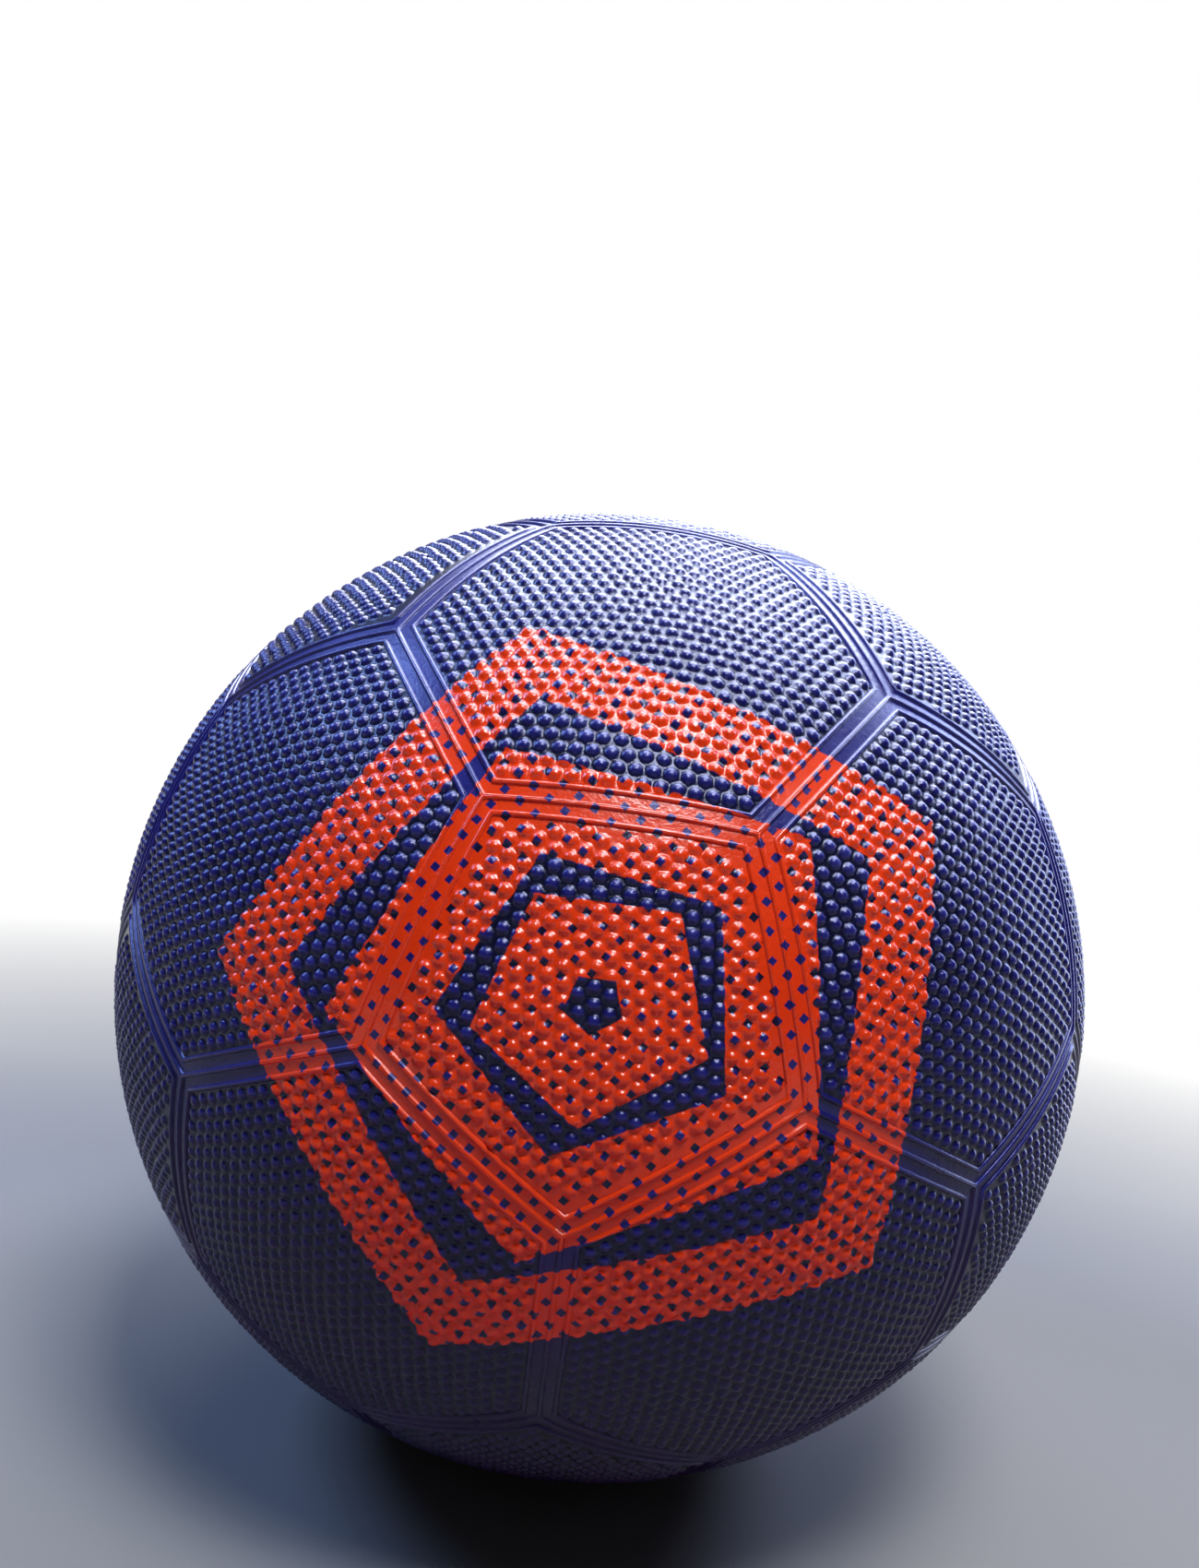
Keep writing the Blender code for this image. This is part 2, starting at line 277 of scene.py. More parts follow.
def raise_pebbles(away, centres, scatter, mesh_row, seed):
    """Moves mesh points near a pebble's foot onto it, and gives each point's height on its nearest pebble.

    A pebble is a dome: its height goes with a power of one minus the square of the share of its radius
    from its middle. A pit is a cone in its top. Pebbles differ a little in place, width and height.
    """
    rng = np.random.default_rng(seed)
    centres = directions(centres + rng.normal(0, scatter / BALL_RADIUS, centres.shape))
    radii = PEBBLE_RADIUS / BALL_RADIUS * rng.normal(1, WIDTH_SPREAD, len(centres))
    shares = rng.normal(HEIGHT_MEAN, HEIGHT_SPREAD, len(centres))
    heights = PEBBLE_RISE * np.clip(shares, HEIGHT_LEAST, 1.0)
    pits = PIT_DEPTH * (rng.random(len(centres)) < PIT_SHARE)
    nearest = np.argmax(away @ centres.T, axis=1)
    middle, radius = centres[nearest], radii[nearest]
    offset = away - middle
    distance = np.linalg.norm(offset, axis=1)
    near_foot = np.abs(distance - radius) < FOOT_CATCH * mesh_row
    stretch = np.where(near_foot, radius / np.maximum(distance, 1e-9), 1.0)
    away = middle + offset * stretch[:, None]
    away /= np.linalg.norm(away, axis=1, keepdims=True)
    share = np.clip(np.where(near_foot, 1.0, distance / radius), 0, 1)
    pit = pits[nearest] * np.clip(1 - distance * BALL_RADIUS / PIT_RADIUS, 0, 1)
    return away, heights[nearest] * (1 - share ** 2) ** DOME_POWER - pit


# Distances from a rib's middle to the rows of its mesh: a row close outside each foot keeps the foot sharp.
RIB_STEPS = RIB_FOOT * np.concatenate([[1.1], np.cos(np.linspace(0, np.pi, 9)), [-1.1]])


def rib_height(distance):
    """Height of a rib at a distance from its middle: half an ellipse."""
    return RIB_RISE * np.sqrt(np.clip(1 - (distance / RIB_FOOT) ** 2, 0, 1))


def close_panel(sides, rows, half_width, away, height, triangles, lining_first=0):
    """Adds the ribbed band, the edge wall and the underside to a panel's field, which ends in its last row.

    Gives the points' directions in the panel's own axes, their distances from the ball's centre, how high
    each stands on a pebble or rib, and the triangles.
    """
    steps = rows // BAND_SHARE
    around = sides * steps
    insets = np.concatenate([EDGE_RIB + RIB_STEPS, RIB_STEPS[:RIB_STEPS.size // 2 + 1]])
    ribs = np.maximum(rib_height(insets - EDGE_RIB), rib_height(insets))
    reach = np.tan(half_width - insets / BALL_RADIUS)
    band = np.concatenate([directions(outline_points(sides, each, steps)) for each in reach])
    lining_reach = np.tan(half_width * np.arange(max(1, lining_first), steps + 1) / steps)
    lining = nested_outlines(sides, lining_reach, max(1, lining_first))
    if not lining_first:
        lining = np.concatenate([np.zeros((1, 2)), lining])

    field_edge = len(away) - sides * rows + np.arange(sides * rows)
    rings = len(away) + around * np.arange(len(insets))[:, None] + np.arange(around)
    underside = rings[-1, -1] + 1
    foot = underside + len(lining) - around + np.arange(around)
    parts = [triangles, gathered_triangles(field_edge, rings[0])]
    parts += [strip_triangles(inner, outer) for inner, outer in zip(rings, rings[1:])]
    parts.append(strip_triangles(rings[-1], foot))
    parts.append(nested_triangles(sides, steps, lining_first)[:, ::-1] + underside)
    heights = np.concatenate([height, np.repeat(ribs, around), np.zeros(len(lining))])
    distance = MARGIN_RADIUS + heights
    distance[underside:] = COVER_INSIDE
    rise = heights / PEBBLE_RISE
    # On the band the rise is held up at BAND_TONE, which limits its painted valley shade.
    rise[len(height):underside] = np.maximum(rise[len(height):underside], BAND_TONE)
    away = np.concatenate([away, band, directions(lining)])
    return away, distance, rise, np.concatenate(parts)


def plain_panel(sides, rows, half_width, pebbles, scatter):
    """A closed panel with pebbles all over its field."""
    width = half_width - FIELD_INSET / BALL_RADIUS
    reach = np.tan(width * np.arange(1, rows + 1) / rows)
    plane = np.concatenate([np.zeros((1, 2)), nested_outlines(sides, reach)])
    away, height = raise_pebbles(directions(plane), pebbles, scatter, width / rows, seed=sides)
    return close_panel(sides, rows, half_width, away, height, nested_triangles(sides, rows))


def panel_axes(node, sides):
    """A CAD panel's own axes as rows, and the angle from its middle to mid-side on the seam.

    Its corners are its points farthest from its middle. Their plane gives the way out, and the first
    of them gives the first axis.
    """
    points = np.empty(len(node.data.vertices) * 3)
    node.data.vertices.foreach_get("co", points)
    points = points.reshape(-1, 3)
    away = points / np.linalg.norm(points, axis=1, keepdims=True)
    towards = away @ away.mean(0)
    corners = away[towards < towards.min() + CORNER_BAND]
    out = np.linalg.svd(corners - corners.mean(0))[2][2]
    out *= np.sign(out @ corners[0])
    first = corners[0] - out * (out @ corners[0])
    half_width = math.atan(np.linalg.norm(first) / (out @ corners[0]) * math.cos(math.pi / sides))
    first /= np.linalg.norm(first)
    return np.stack([first, np.cross(out, first), out]), half_width + CAD_SEAM_GAP / 2 / BALL_RADIUS


PRINT_TILT = math.radians(10.81)     # the printed pentagon's middle stands this far above the ball's middle
PRINT_FRAMES = [(0, 4.0, 16.0), (9, 20.5, 36.5), (18, 43.0, 57.0)]     # turn, inner and outer edge
NO_PRINT = -100.0                    # millimetres, the least that print_edge gives


def print_place(points):
    """Where each point lies from the middle of the print, across and up, in millimetres along the ball.

    The point is seen on the plane that touches the ball there, and its distance is the arctangent of its
    reach on that plane. The same print lies on the other side of the ball.
    """
    depth = points @ np.array([0.0, -math.cos(PRINT_TILT), math.sin(PRINT_TILT)])
    up = points @ np.array([0.0, math.sin(PRINT_TILT), math.cos(PRINT_TILT)]) / depth
    across = points[:, 0] / depth
    reach = np.hypot(across, up)
    arc = np.arctan(reach) * BALL_RADIUS / MM / np.maximum(reach, 1e-9)
    return across * arc, up * arc


def print_edge(across, up):
    """How far in millimetres each place lies inside the print's edge, below zero where none is printed.

    The print is pentagon frames one round the other, given as turn in degrees and distances to mid-side
    in millimetres along the ball. The distance to mid-side is the place's distance times the cosine of its
    turn from the nearest mid-side.
    """
    turn, away = np.arctan2(up, across), np.hypot(across, up)
    edge = np.full(len(across), NO_PRINT)
    for frame_turn, inner, outer in PRINT_FRAMES:
        from_mid_side = np.mod(turn + math.radians(90 + frame_turn), 2 * np.pi / 5) - np.pi / 5
        arc = away * np.cos(from_mid_side)
        edge = np.maximum(edge, np.minimum(arc - inner, outer - arc))
    return edge


def new_piece(name, points, triangles, material, **attributes):
    """A smooth-shaded mesh object at the origin from arrays of points, triangles and values at points."""
    mesh = bpy.data.meshes.new(name)
    mesh.vertices.add(len(points))
    mesh.vertices.foreach_set("co", np.ascontiguousarray(points, np.float32).ravel())
    mesh.loops.add(triangles.size)
    mesh.loops.foreach_set("vertex_index", np.ascontiguousarray(triangles, np.int32).ravel())
    mesh.polygons.add(len(triangles))
    mesh.polygons.foreach_set("loop_start", np.arange(0, triangles.size, 3, dtype=np.int32))
    mesh.update(calc_edges=True)
    mesh.shade_smooth()
    for attribute, values in attributes.items():
        at_points = mesh.attributes.new(attribute, "FLOAT", "POINT")
        at_points.data.foreach_set("value", values.astype(np.float32))
    mesh.materials.append(material)
    piece = bpy.data.objects.new(name, mesh)
    bpy.context.scene.collection.objects.link(piece)
    return piece


# The valley violet is painted shade for the low places between the pebbles, not a colour of the rubber.
VIOLET_PAINTED_SHADE = linear("#080A28")
VIOLET_RUBBER = linear("#171670")
VIOLET_WORN = linear("#282E84")
BLUE_SHEEN = linear("#CCD4FF")
CLEAR_SHEEN = linear("#FFFFFF")
ORANGE_INK = linear("#DC3C0E")
ORANGE_THICK = linear("#CE340B")
INK_RAGGED = 0.5                 # millimetres that the ink's edge wanders
INK_WANDER = 2.2 * MM            # length of one such wander
RASTER_PITCH = 3.4               # millimetres between the bare diamonds in the print
RASTER_TURN = math.radians(33)
RASTER_REACH = 60.0              # millimetres from the print's middle to its largest diamonds
RUB_PATCH = 14 * MM
SCUFF = 1.1 * MM
MOULD_GRAIN = 0.45 * MM          # drawn coarser than the real 0.1 mm, to show
SCUFF_RELIEF = 0.09 * MM

# Vulcanised rubber from a polished mould: deep violet, paler where the pebbles are rubbed, with a broad
# satin sheen of a bluish cast. Painted shade darkens the valleys between the pebbles. Over the rubber lies
# opaque screen ink, a little glossier than the rubber, with a slightly wandering edge and a raster of bare
# diamonds, which grow outwards.
cover, tree = empty_material("vulcanised_rubber_printed")
place = add_node(tree, "ShaderNodeTexCoord").outputs["Object"]
# rise is a point's height as a share of a pebble's: it sets the painted valley shade, and where rubbing
# shows.
rise_at = add_node(tree, "ShaderNodeAttribute", attribute_name="rise").outputs["Fac"]
edge_at = add_node(tree, "ShaderNodeAttribute", attribute_name="ink").outputs["Fac"]
across_at = add_node(tree, "ShaderNodeAttribute", attribute_name="across").outputs["Fac"]
up_at = add_node(tree, "ShaderNodeAttribute", attribute_name="up").outputs["Fac"]
wander = add_node(tree, "ShaderNodeTexNoise", {"Vector": place, "Scale": 1 / INK_WANDER, "Detail": 2.0})
shift = add_node(tree, "ShaderNodeMath", {0: wander.outputs["Fac"], 1: 0.5}, operation="SUBTRACT")
edge = add_node(tree, "ShaderNodeMath", {
    0: shift.outputs[0], 1: INK_RAGGED, 2: edge_at}, operation="MULTIPLY_ADD")
frames = add_node(tree, "ShaderNodeMapRange", {"Value": edge.outputs[0], "From Min": -0.1, "From Max": 0.1})
on_print = add_node(tree, "ShaderNodeCombineXYZ", {"X": across_at, "Y": up_at})
turned = add_node(tree, "ShaderNodeMapping", {
    "Vector": on_print.outputs["Vector"], "Rotation": (0.0, 0.0, RASTER_TURN)})
diamonds = add_node(tree, "ShaderNodeTexVoronoi", {
    "Vector": turned.outputs["Vector"], "Scale": 1 / RASTER_PITCH, "Randomness": 0.0},
    voronoi_dimensions="2D", distance="CHEBYCHEV")
outwards = add_node(tree, "ShaderNodeVectorMath", {0: on_print.outputs["Vector"]}, operation="LENGTH")
half_size = add_node(tree, "ShaderNodeMapRange", {
    "Value": outwards.outputs["Value"], "From Max": RASTER_REACH, "To Min": 0.16, "To Max": 0.22})
beyond = add_node(tree, "ShaderNodeMath", {
    0: diamonds.outputs["Distance"], 1: half_size.outputs["Result"]}, operation="SUBTRACT")
round_diamonds = add_node(tree, "ShaderNodeMapRange", {
    "Value": beyond.outputs[0], "From Min": -0.02, "From Max": 0.02})
ink = add_node(tree, "ShaderNodeMath", {
    0: frames.outputs["Result"], 1: round_diamonds.outputs["Result"]}, operation="MULTIPLY").outputs[0]
cloudy = add_node(tree, "ShaderNodeTexNoise", {"Vector": place, "Scale": 1 / RUB_PATCH, "Detail": 5.0})
mottle = cloudy.outputs["Fac"]
patch = add_node(tree, "ShaderNodeMapRange", {"Value": mottle, "From Min": 0.45, "From Max": 0.8})
rubbed = add_node(tree, "ShaderNodeMath", {0: patch.outputs["Result"], 1: rise_at}, operation="MULTIPLY")
# Painted shade: the violet darkens where a point lies low: between the pebbles, beside the ribs, in pits and
# in the valve recess.
valley_shaded_tint = add_node(tree, "ShaderNodeMix", {
    0: rise_at, 6: VIOLET_PAINTED_SHADE, 7: VIOLET_RUBBER}, data_type="RGBA")
rubber_tint = add_node(tree, "ShaderNodeMix", {
    0: rubbed.outputs[0], 6: valley_shaded_tint.outputs[2], 7: VIOLET_WORN}, data_type="RGBA")
ink_tint = add_node(tree, "ShaderNodeMix", {0: mottle, 6: ORANGE_THICK, 7: ORANGE_INK}, data_type="RGBA")
tint = add_node(tree, "ShaderNodeMix", {
    0: ink, 6: rubber_tint.outputs[2], 7: ink_tint.outputs[2]}, data_type="RGBA")
sheen = add_node(tree, "ShaderNodeMix", {0: ink, 6: BLUE_SHEEN, 7: CLEAR_SHEEN}, data_type="RGBA")
satin = add_node(tree, "ShaderNodeMapRange", {"Value": mottle, "To Min": 0.24, "To Max": 0.34})
gloss = add_node(tree, "ShaderNodeMath", {
    0: ink, 1: -0.06, 2: satin.outputs["Result"]}, operation="MULTIPLY_ADD")
grain = add_node(tree, "ShaderNodeTexNoise", {"Vector": place, "Scale": 1 / MOULD_GRAIN, "Detail": 3.0})
scuff = add_node(tree, "ShaderNodeTexNoise", {"Vector": place, "Scale": 1 / SCUFF, "Detail": 4.0})
uneven = add_node(tree, "ShaderNodeMath", {
    0: scuff.outputs["Fac"], 1: 2.0, 2: grain.outputs["Fac"]}, operation="MULTIPLY_ADD")
relief = add_node(tree, "ShaderNodeBump", {
    "Height": uneven.outputs[0], "Strength": 0.5, "Distance": SCUFF_RELIEF})
shader = add_node(tree, "ShaderNodeBsdfPrincipled", {
    "Base Color": tint.outputs[2], "Roughness": gloss.outputs[0], "IOR": 1.52,
    "Specular Tint": sheen.outputs[2], "Normal": relief.outputs["Normal"]})
add_node(tree, "ShaderNodeOutputMaterial", {"Surface": shader.outputs["BSDF"]})


def lay_panel(name, axes, away, distance, rise, triangles):
    """Puts a panel's shape in its place on the ball, with its print, for the CAD panel of that name."""
    points = away @ axes * distance[:, None]
    across, up = print_place(points)
    ink = print_edge(across, up)
    piece = new_piece(
        f"moulded_{name}", points, triangles, cover, rise=rise, ink=ink, across=across, up=up)
    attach(piece, "ball")
    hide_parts(name)


shapes = {}
for name, node in sorted(frame["nodes"].items()):
    if name.startswith("pentagon"):
        axes, half_width = panel_axes(node, 5)
        if 5 not in shapes:
            pebbles = pentagon_pebbles(half_width)
            shapes[5] = plain_panel(5, PENTAGON_ROWS, half_width, pebbles, PENTAGON_SCATTER)
        lay_panel(name, axes, *shapes[5])
    elif name.startswith("hexagon"):
        axes, half_width = panel_axes(node, 6)
        if 6 not in shapes:
            pebbles = hexagon_pebbles(half_width)
            shapes[6] = plain_panel(6, HEXAGON_ROWS, half_width, pebbles, HEXAGON_SCATTER)
        lay_panel(name, axes, *shapes[6])

# Valve panel
# The hexagon over the valve, of the same rubber. Its mould leaves a smooth disc with a raised ring, and
# the valve hole is punched through a shallow flat recess in its middle.

HOLE_RADIUS = 5.3 * MM
HOLE_STEPS = 12                  # points of the hole's edge in each sixth of a turn
LINING_FIRST = 3                 # row of the underside's mesh next to the hole
RECESS_RADIUS = 7.5 * MM
RECESS_FLOOR = mounts["valve_face"]["pos_m"][2]
RING_RADIUS = 11.2 * MM
ROUND_TO = 16 * MM               # rows of the mesh are circles to here
HEXAGON_FROM = 24 * MM           # and hexagons from here
PEBBLE_FREE = 13.4 * MM          # no pebble's middle is nearer the valve than this


def valve_panel(half_width):
    """A closed hexagon with a hole: rows of points change from circles round the hole to hexagons.

    The recess is flat, so there the distance from the ball's centre is the floor's height over the
    cosine of the angle. The ring is a rib on a circle.
    """
    width = half_width - FIELD_INSET / BALL_RADIUS
    # Rows of points from the hole's edge outwards, close together where the height changes.
    near = np.concatenate([
        HOLE_RADIUS + np.array([0.0, 0.2, 0.6, 1.2]) * MM,
        RECESS_RADIUS + np.array([-0.1, 0.0, 0.12, 0.3, 0.9, 1.7, 2.5]) * MM,
        RING_RADIUS - RIB_STEPS]) / BALL_RADIUS
    rows_beyond = HEXAGON_ROWS - HOLE_STEPS - len(near) + 1
    beyond = np.linspace(near[-1], width, rows_beyond + 1)[1:]
    reach = np.tan(np.concatenate([near, beyond]))
    plane = nested_outlines(6, reach, HOLE_STEPS)
    row_reach = np.repeat(reach, 6 * np.arange(HOLE_STEPS, HEXAGON_ROWS + 1))
    roundness = np.clip((HEXAGON_FROM - row_reach * BALL_RADIUS) / (HEXAGON_FROM - ROUND_TO), 0, 1)
    plane *= (1 - roundness + roundness * row_reach / np.linalg.norm(plane, axis=1))[:, None]

    pebbles = hexagon_pebbles(half_width)
    pebbles = pebbles[np.arctan(np.linalg.norm(pebbles, axis=1)) > PEBBLE_FREE / BALL_RADIUS]
    away, height = raise_pebbles(directions(plane), pebbles, HEXAGON_SCATTER, width / HEXAGON_ROWS, seed=60)
    from_hole = np.arccos(np.clip(away[:, 2], -1, 1)) * BALL_RADIUS
    # Each border lies a little beyond its edge, so that the row of points on the edge counts as inside.
    ring = np.maximum(0, rib_height(from_hole - RING_RADIUS))
    height = np.where(from_hole < RING_RADIUS + 1.05 * RIB_FOOT, ring, height)
    recess = RECESS_FLOOR / away[:, 2] - MARGIN_RADIUS
    height = np.where(from_hole < RECESS_RADIUS + 0.05 * MM, recess, height)
    triangles = nested_triangles(6, HEXAGON_ROWS, HOLE_STEPS)
    away, distance, rise, triangles = close_panel(
        6, HEXAGON_ROWS, half_width, away, height, triangles, LINING_FIRST)

    hole_edge = np.arange(6 * HOLE_STEPS)
    turn = np.arctan2(away[hole_edge, 1], away[hole_edge, 0])
    drop = np.full(len(turn), math.sqrt(COVER_INSIDE ** 2 - HOLE_RADIUS ** 2))
    hole_foot = np.stack([HOLE_RADIUS * np.cos(turn), HOLE_RADIUS * np.sin(turn), drop], axis=1)
    hole_foot /= COVER_INSIDE
    lining_rows = np.arange(LINING_FIRST, HEXAGON_ROWS // BAND_SHARE + 1)
    lining_edge = len(away) - 6 * lining_rows.sum() + np.arange(6 * LINING_FIRST)
    foot = len(away) + hole_edge
    triangles = np.concatenate([
        triangles, strip_triangles(foot, hole_edge), gathered_triangles(foot, lining_edge)[:, ::-1]])
    away = np.concatenate([away, hole_foot])
    distance = np.concatenate([distance, np.full(len(foot), COVER_INSIDE)])
    return away, distance, np.concatenate([rise, np.zeros(len(foot))]), triangles


axes, half_width = panel_axes(frame["nodes"]["valve_panel"], 6)
lay_panel("valve_panel", axes, *valve_panel(half_width))

# Valve plug
# A push-in plug of soft black rubber, turned and slightly tapered, with a funnel that leads the pump
# needle into its bore. Friction in the seat holds it, and it comes out along its own axis.

PLUG_FACE = RECESS_FLOOR
HEAD_RADIUS = 5.0 * MM
STEM_RADIUS = 3.8 * MM
STEM_TIP_RADIUS = 3.4 * MM
STEM_LENGTH = 16.0 * MM
HEAD_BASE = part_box("valve_plug")[0][2] + STEM_LENGTH
FUNNEL_RADIUS = 1.2 * MM
FUNNEL_DEPTH = 2.0 * MM
NEEDLE_RADIUS = 0.5 * MM
NEEDLE_DEPTH = 10.0 * MM
EDGE_ROUND = 0.35 * MM
NEEDLE_ROUND = 0.175 * MM        # the same, inside the needle's bore
PLUG_TURNS = 72


def rounded_corner(corner, before, after, radius, steps=5):
    """Points of a curve that rounds a profile's corner: a quadratic bend from one side to the other."""
    corner, before, after = np.array(corner), np.array(before), np.array(after)
    start = corner + (before - corner) * radius / np.linalg.norm(before - corner)
    end = corner + (after - corner) * radius / np.linalg.norm(after - corner)
    share = np.linspace(0, 1, steps)[:, None]
    return (1 - share) ** 2 * start + 2 * share * (1 - share) * corner + share ** 2 * end


def turned_surface(profile, turns):
    """Points and triangles of a profile of radius and height turned once round Z, closed at both ends."""
    turn = np.arange(turns) * 2 * np.pi / turns
    radius, height = profile[:, 0], profile[:, 1]
    rings = np.stack([
        radius[:, None] * np.cos(turn), radius[:, None] * np.sin(turn),
        np.broadcast_to(height[:, None], (len(profile), turns))], axis=2).reshape(-1, 3)
    points = np.concatenate([rings, [[0, 0, height[0]], [0, 0, height[-1]]]])
    index = np.arange(len(profile) * turns).reshape(len(profile), turns)
    triangles = [strip_triangles(inner, outer) for inner, outer in zip(index, index[1:])]
    first, last = index[0], index[-1]
    triangles.append(np.stack([np.full(turns, len(rings)), first, np.roll(first, -1)], axis=1))
    triangles.append(np.stack([last, np.full(turns, len(rings) + 1), np.roll(last, -1)], axis=1))
    return points, np.concatenate(triangles)


# The first and last points lie on the flat ends, inside their corners.
outline = [
    (NEEDLE_RADIUS * 0.6, PLUG_FACE - NEEDLE_DEPTH), (NEEDLE_RADIUS, PLUG_FACE - NEEDLE_DEPTH),
    (NEEDLE_RADIUS, PLUG_FACE - FUNNEL_DEPTH), (FUNNEL_RADIUS, PLUG_FACE), (HEAD_RADIUS, PLUG_FACE),
    (HEAD_RADIUS, HEAD_BASE), (STEM_RADIUS, HEAD_BASE), (STEM_TIP_RADIUS, HEAD_BASE - STEM_LENGTH),
    (STEM_TIP_RADIUS * 0.2, HEAD_BASE - STEM_LENGTH)]
profile = [np.array(outline[:1])]
for before, corner, after in zip(outline, outline[1:], outline[2:]):
    rounding = NEEDLE_ROUND if corner[0] <= NEEDLE_RADIUS else EDGE_ROUND
    profile.append(rounded_corner(corner, before, after, rounding))
profile.append(np.array(outline[-1:]))
points, triangles = turned_surface(np.concatenate(profile), PLUG_TURNS)

PLUG_BLACK = linear("#161617")
PLUG_DUSTY = linear("#38383A")
DUST_PATCH = 1.8 * MM
DUST_RELIEF = 0.1 * MM

# Soft valve rubber: moulded matt black, grey with dust in patches.
soft_rubber, tree = empty_material("soft_valve_rubber")
place = add_node(tree, "ShaderNodeTexCoord").outputs["Object"]
dust = add_node(tree, "ShaderNodeTexNoise", {"Vector": place, "Scale": 1 / DUST_PATCH, "Detail": 6.0})
patch = add_node(tree, "ShaderNodeMapRange", {
    "Value": dust.outputs["Fac"], "From Min": 0.5, "From Max": 0.8})
tint = add_node(tree, "ShaderNodeMix", {
    0: patch.outputs["Result"], 6: PLUG_BLACK, 7: PLUG_DUSTY}, data_type="RGBA")
dull = add_node(tree, "ShaderNodeMapRange", {"Value": dust.outputs["Fac"], "To Min": 0.5, "To Max": 0.75})
relief = add_node(tree, "ShaderNodeBump", {
    "Height": dust.outputs["Fac"], "Strength": 0.2, "Distance": DUST_RELIEF})
shader = add_node(tree, "ShaderNodeBsdfPrincipled", {
    "Base Color": tint.outputs[2], "Roughness": dull.outputs["Result"], "IOR": 1.52,
    "Normal": relief.outputs["Normal"]})
add_node(tree, "ShaderNodeOutputMaterial", {"Surface": shader.outputs["BSDF"]})
plug = new_piece("turned_valve_plug", points, triangles, soft_rubber)
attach(plug, "valve")
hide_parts("valve_plug")

# Floor
# A wide sheet of pale matt paper that the ball rests on. It runs out into a white backdrop, whose light
# washes the paper out, sooner behind the ball than on the other sides.

FLOOR_REACH = 12.0               # metres from the ball's middle to each side of the sheet
PAPER_PALE = linear("#929292")       # the paper as it is seen
PAPER_BOUNCE = linear("#BA5436")     # and as it lights the ball
PAPER_FIBRE = 1.5 * MM           # drawn coarser than real fibre, to show
FIBRE_RELIEF = 0.05 * MM
WASH_BEHIND = (0.25, 0.7)        # metres from the ball where the paper starts to wash out, and is white
WASH_ROUND = (0.4, 1.0)
BEHIND = 0.25                    # metres back from the ball's middle

bpy.context.scene.view_settings.view_transform = "Standard"
corners = FLOOR_REACH * np.array([[-1, -1], [1, -1], [1, 1], [-1, 1]])
sheet = np.column_stack([corners, np.full(4, -BALL_RADIUS)])
# Matt paper with a fine grain, pale to the eye and in reflections, and plain white far from the ball. The
# light that it throws back on the ball is dim and warm.
paper, tree = empty_material("matt_pale_paper")
place = add_node(tree, "ShaderNodeTexCoord").outputs["Object"]
fibre = add_node(tree, "ShaderNodeTexNoise", {"Vector": place, "Scale": 1 / PAPER_FIBRE, "Detail": 4.0})
rays = add_node(tree, "ShaderNodeLightPath")
seen = add_node(tree, "ShaderNodeMath", {
    0: rays.outputs["Is Camera Ray"], 1: rays.outputs["Is Glossy Ray"]}, operation="MAXIMUM")
seen = add_node(tree, "ShaderNodeMath", {
    0: seen.outputs[0], 1: rays.outputs["Is Transmission Ray"]}, operation="MAXIMUM")
tint = add_node(tree, "ShaderNodeMix", {
    0: seen.outputs[0], 6: PAPER_BOUNCE, 7: PAPER_PALE}, data_type="RGBA")
relief = add_node(tree, "ShaderNodeBump", {
    "Height": fibre.outputs["Fac"], "Strength": 0.1, "Distance": FIBRE_RELIEF})
matt = add_node(tree, "ShaderNodeBsdfDiffuse", {
    "Color": tint.outputs[2], "Normal": relief.outputs["Normal"]})
from_ball = add_node(tree, "ShaderNodeVectorMath", {0: place}, operation="LENGTH")
far = add_node(tree, "ShaderNodeMapRange", {
    "Value": from_ball.outputs["Value"], "From Min": WASH_BEHIND[0], "From Max": WASH_BEHIND[1]})
back = add_node(tree, "ShaderNodeSeparateXYZ", {"Vector": place})
behind = add_node(tree, "ShaderNodeMapRange", {
    "Value": back.outputs["Y"], "From Min": 0.0, "From Max": BEHIND})
washed = add_node(tree, "ShaderNodeMath", {
    0: far.outputs["Result"], 1: behind.outputs["Result"]}, operation="MULTIPLY")
farther = add_node(tree, "ShaderNodeMapRange", {
    "Value": from_ball.outputs["Value"], "From Min": WASH_ROUND[0], "From Max": WASH_ROUND[1]})
washed = add_node(tree, "ShaderNodeMath", {
    0: washed.outputs[0], 1: farther.outputs["Result"]}, operation="MAXIMUM")
plain = add_node(tree, "ShaderNodeMath", {0: washed.outputs[0], 1: seen.outputs[0]}, operation="MULTIPLY")
white = add_node(tree, "ShaderNodeEmission", {"Color": (1.0, 1.0, 1.0, 1.0), "Strength": 1.0})
both = add_node(tree, "ShaderNodeMixShader", {
    0: plain.outputs[0], 1: matt.outputs["BSDF"], 2: white.outputs["Emission"]})
add_node(tree, "ShaderNodeOutputMaterial", {"Surface": both.outputs["Shader"]})
floor = new_piece("floor", sheet, np.array([[0, 1, 2], [0, 2, 3]]), paper)

# Light
# A softbox in front and above, a large one above and behind, one on each side, and a dim studio all round,
# white to the camera and, behind the ball, in reflections. Two more show in reflections alone: they put the
# sheen on the top and glints on the right, and leave the light itself near a plain level.

WORLD_LEVEL = 0.04
BACKDROP_EDGE = (0.6, 0.95)      # how far back a direction points where the backdrop begins, and is full


def add_softbox(name, place, size, power, colour):
    """A square area lamp that faces the ball. Place and size are in metres, power in watts."""
    lamp = bpy.data.lights.new(name, "AREA")
    lamp.shape = "SQUARE"
    lamp.size = size
    lamp.energy = power
    lamp.color = linear(colour)[:3]
    box = bpy.data.objects.new(name, lamp)
    box.location = place
    box.rotation_euler = (-Vector(place)).to_track_quat("-Z", "Y").to_euler()
    bpy.context.scene.collection.objects.link(box)
    return box


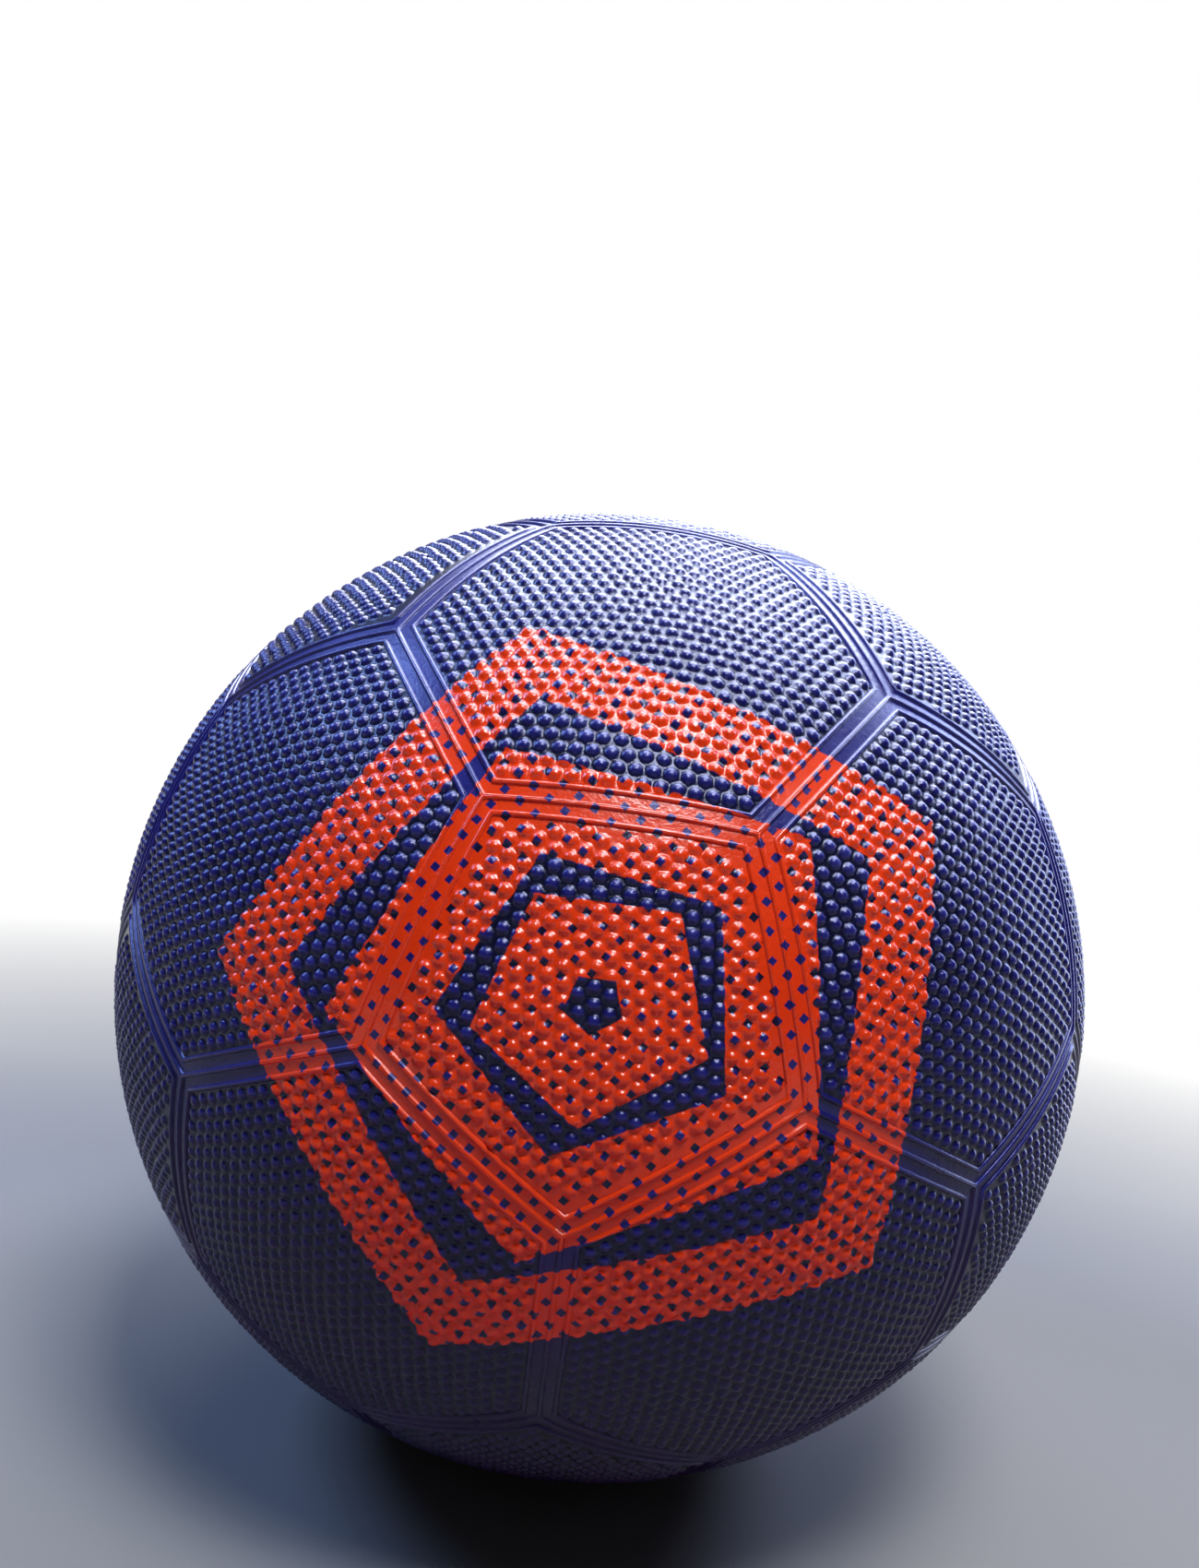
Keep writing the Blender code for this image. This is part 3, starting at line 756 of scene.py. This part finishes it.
add_softbox("key_softbox", (0.08, -0.30, 0.62), 0.22, 4.9, "#FFFFFF")
add_softbox("top_softbox", (0.06, 0.36, 0.84), 0.86, 5.0, "#F0F4FF")
sheen_softbox = add_softbox("sheen_softbox", (0.061, 0.366, 0.854), 0.87, 34.0, "#E8EEFF")
sheen_softbox.visible_diffuse = False
glint_softbox = add_softbox("glint_softbox", (0.70, 0.35, 0.16), 0.40, 2.6, "#D8E4FF")
glint_softbox.visible_diffuse = False
add_softbox("left_softbox", (-0.56, 0.03, 0.50), 0.26, 3.2, "#A0C0FF")
add_softbox("right_softbox", (0.55, 0.30, 0.48), 0.28, 3.3, "#C4D2FF")

world = bpy.data.worlds.new("studio")
bpy.context.scene.world = world
world.use_nodes = True
tree = world.node_tree
tree.nodes.clear()
rays = add_node(tree, "ShaderNodeLightPath")
way = add_node(tree, "ShaderNodeTexCoord").outputs["Generated"]
way_back = add_node(tree, "ShaderNodeSeparateXYZ", {"Vector": way}).outputs["Y"]
backdrop = add_node(tree, "ShaderNodeMapRange", {
    "Value": way_back, "From Min": BACKDROP_EDGE[0], "From Max": BACKDROP_EDGE[1]})
mirrored = add_node(tree, "ShaderNodeMath", {
    0: rays.outputs["Is Glossy Ray"], 1: rays.outputs["Is Transmission Ray"]}, operation="MAXIMUM")
mirrored = add_node(tree, "ShaderNodeMath", {
    0: mirrored.outputs[0], 1: backdrop.outputs["Result"]}, operation="MULTIPLY")
seen = add_node(tree, "ShaderNodeMath", {
    0: rays.outputs["Is Camera Ray"], 1: mirrored.outputs[0]}, operation="MAXIMUM")
level = add_node(tree, "ShaderNodeMapRange", {
    "Value": seen.outputs[0], "To Min": WORLD_LEVEL, "To Max": 1.0})
studio = add_node(tree, "ShaderNodeBackground", {
    "Color": (1.0, 1.0, 1.0, 1.0), "Strength": level.outputs["Result"]})
add_node(tree, "ShaderNodeOutputWorld", {"Surface": studio.outputs["Background"]})

# Camera
# It stands at the photograph's distance and angle and is rolled a little, all found from the ball's outline
# and the corners of its seams. The frame is shifted so that the ball lies low in it.

PHOTO_HEIGHT = 1700.0            # pixels, with the ball's outline measured in them
BALL_CENTRE_DOWN = 1082.0
BALL_OUTLINE = 526.8
VIEW_DISTANCE = 2.694            # in ball radii
VIEW_AZIMUTH = math.radians(0.4)
VIEW_ELEVATION = math.radians(11.4)
VIEW_ROLL = math.radians(7.8)
SENSOR = 36.0                    # millimetres

lens = bpy.data.cameras.new("camera")
lens.sensor_width = SENSOR
lens.lens = SENSOR * BALL_OUTLINE * math.sqrt(VIEW_DISTANCE ** 2 - 1) / PHOTO_HEIGHT
lens.shift_y = BALL_CENTRE_DOWN / PHOTO_HEIGHT - 0.5
lens.clip_start = 0.01
camera = bpy.data.objects.new("camera", lens)
back = Vector((
    math.sin(VIEW_AZIMUTH) * math.cos(VIEW_ELEVATION), -math.cos(VIEW_AZIMUTH) * math.cos(VIEW_ELEVATION),
    math.sin(VIEW_ELEVATION)))
turn = (-back).to_track_quat("-Z", "Y").to_matrix() @ Matrix.Rotation(VIEW_ROLL, 3, "Z")
camera.matrix_world = Matrix.Translation(back * VIEW_DISTANCE * BALL_RADIUS) @ turn.to_4x4()
bpy.context.scene.collection.objects.link(camera)
bpy.context.scene.camera = camera
